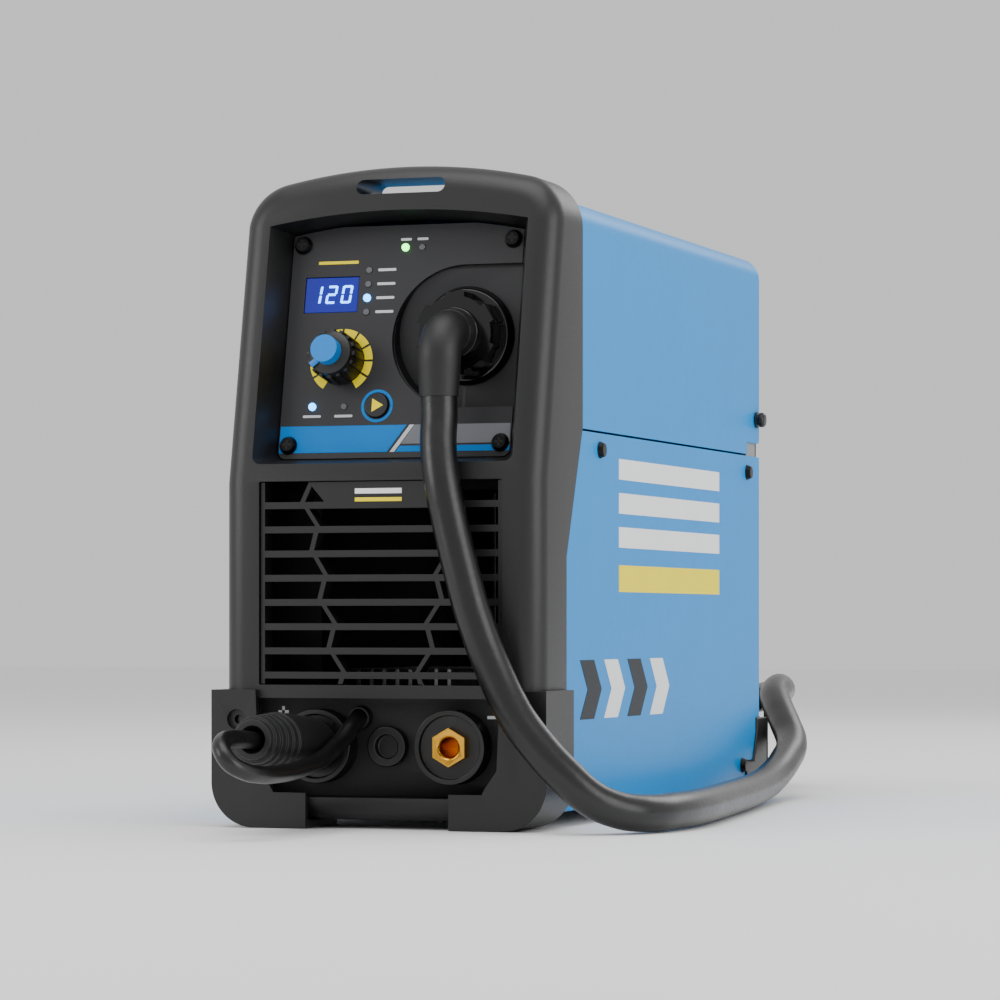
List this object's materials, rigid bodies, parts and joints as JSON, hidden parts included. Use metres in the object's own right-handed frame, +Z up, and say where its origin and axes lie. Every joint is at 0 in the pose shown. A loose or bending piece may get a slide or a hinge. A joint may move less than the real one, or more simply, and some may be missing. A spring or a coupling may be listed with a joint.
{
  "type": "mig welder",
  "caption": "Free-standing portable wire-feed welder: slim case with arched strap-slot front, leaning control face, output sockets and a coiled torch hose.",
  "frame": {"origin": "centre of the base pan plane, on the underside of the pan, midway between the front plane and the rear edge of the side sheets", "axes": "+X to the right seen from the front, +Y from the control face to the rear, +Z up"},
  "size_m": [0.3113, 0.7363, 0.3095],
  "materials": {
    "moulded_plastic": "fine texture",
    "black_plastic": "satin",
    "blue_paint": "satin",
    "galvanised": "galvanised",
    "panel_film": "fine texture",
    "black_screws": "blackened",
    "display_glass": "gloss",
    "led_plastic": "gloss",
    "black_rubber": "satin",
    "brass": "bright",
    "red_plastic": "gloss",
    "circuit_board": "satin",
    "aluminium": "milled",
    "winding": "varnished",
    "dark_steel": "satin",
    "steel": "turned",
    "spool_plastic": "satin",
    "welding_wire": "copper coated",
    "knob_plastic": "satin",
    "button_plastic": "satin",
    "copper": "bright"
  },
  "bodies": {
    "root": {"base_pan": "galvanised", "side_sheet_left": "blue_paint", "side_sheet_right": "blue_paint", "front_bezel": "moulded_plastic", "grille": "moulded_plastic", "connector_wall": "black_plastic", "boot_front_left": "moulded_plastic", "boot_front_right": "moulded_plastic", "boot_rear_left": "moulded_plastic", "boot_rear_right": "moulded_plastic", "rear_panel": "moulded_plastic", "shelf": "galvanised", "front_bulkhead": "galvanised", "control_panel": "panel_film", "panel_screws": "black_screws", "display_window": "display_glass", "led_lenses": "led_plastic", "gun_pocket": "moulded_plastic", "gun_adaptor": "black_plastic", "gun_elbow": "black_rubber", "gun_hose": "black_rubber", "gun_hose_coil": "black_rubber", "socket_bodies": "black_plastic", "socket_inserts": "brass", "blanking_plug": "black_plastic", "polarity_plug": "black_rubber", "polarity_lead": "black_rubber", "lead_grommet": "black_rubber", "case_screws": "black_screws", "fan_frame": "black_plastic", "switch_bezel": "black_plastic", "mains_gland": "black_plastic", "gas_inlet": "brass", "inverter_board": "circuit_board", "heatsink": "aluminium", "transformer": "winding", "feeder_plate": "aluminium", "feeder_motor": "dark_steel", "spool_holder": "black_plastic", "spool_nut": "black_plastic", "lid_pivots": "black_plastic", "pivot_brackets": "galvanised", "torch_handle": "black_plastic", "torch_neck": "steel", "torch_nozzle": "copper"},
    "knob": {"control_knob": "knob_plastic"},
    "button": {"mode_button": "button_plastic"},
    "lock_nut": {"gun_lock_nut": "black_plastic"},
    "fan": {"fan_rotor": "black_plastic"},
    "rocker": {"switch_rocker": "red_plastic"},
    "feed_roll": {"drive_roll": "steel"},
    "arm": {"pressure_arm": "black_plastic"},
    "press_roller": {"pressure_roller": "steel"},
    "tension": {"tension_knob": "black_plastic"},
    "spool": {"wire_spool": "spool_plastic", "spool_wire": "welding_wire"},
    "lid": {"lid": "blue_paint"},
    "trigger": {"torch_trigger": "red_plastic"}
  },
  "joints": [
    {"name": "knob_turn", "type": "hinge", "parent": "root", "child": "knob", "pos_m": [-0.029, -0.16614, 0.21028], "axis": [0, -0.9799, 0.1994], "range_deg": [-280, 20]},
    {"name": "button_press", "type": "slide", "parent": "root", "child": "button", "axis": [0, 0.9799, -0.1994], "range_m": [0, 0.0012], "stiffness_N_per_m": 300},
    {"name": "lock_nut_turn", "type": "hinge", "parent": "root", "child": "lock_nut", "pos_m": [0.03, -0.167, 0.2215], "axis": [0, 1, 0], "continuous": true},
    {"name": "fan_spin", "type": "hinge", "parent": "root", "child": "fan", "pos_m": [0, 0.175, 0.092], "axis": [0, 1, 0], "continuous": true},
    {"name": "rocker_switch", "type": "hinge", "parent": "root", "child": "rocker", "pos_m": [0.038, 0.189, 0.208], "axis": [-1, 0, 0], "range_deg": [0, 24]},
    {"name": "feed_roll_spin", "type": "hinge", "parent": "root", "child": "feed_roll", "pos_m": [0.03, -0.101, 0.2061], "axis": [1, 0, 0], "continuous": true},
    {"name": "arm_lift", "type": "hinge", "parent": "root", "child": "arm", "pos_m": [0.03, -0.075, 0.2325], "axis": [-1, 0, 0], "range_deg": [0, 35]},
    {"name": "press_roller_spin", "type": "hinge", "parent": "arm", "child": "press_roller", "pos_m": [0.03, -0.101, 0.2319], "axis": [1, 0, 0], "continuous": true},
    {"name": "tension_turn", "type": "hinge", "parent": "arm", "child": "tension", "pos_m": [0.03, -0.119, 0.245], "axis": [0, 0, 1], "continuous": true},
    {"name": "spool_spin", "type": "hinge", "parent": "root", "child": "spool", "pos_m": [0.03, 0.055, 0.228], "axis": [1, 0, 0], "continuous": true},
    {"name": "lid_swing", "type": "hinge", "parent": "root", "child": "lid", "pos_m": [0, 0.186, 0.1982], "axis": [-1, 0, 0], "range_deg": [0, 70]},
    {"name": "trigger_pull", "type": "hinge", "parent": "root", "child": "trigger", "pos_m": [-0.142, 0.186, 0.0085], "axis": [0, 0, -1], "range_deg": [0, 4], "stiffness_Nm_per_rad": 0.5}
  ],
  "couplings": [
    {"joint": "press_roller_spin", "follows": "feed_roll_spin", "ratio": -1.5}
  ]
}
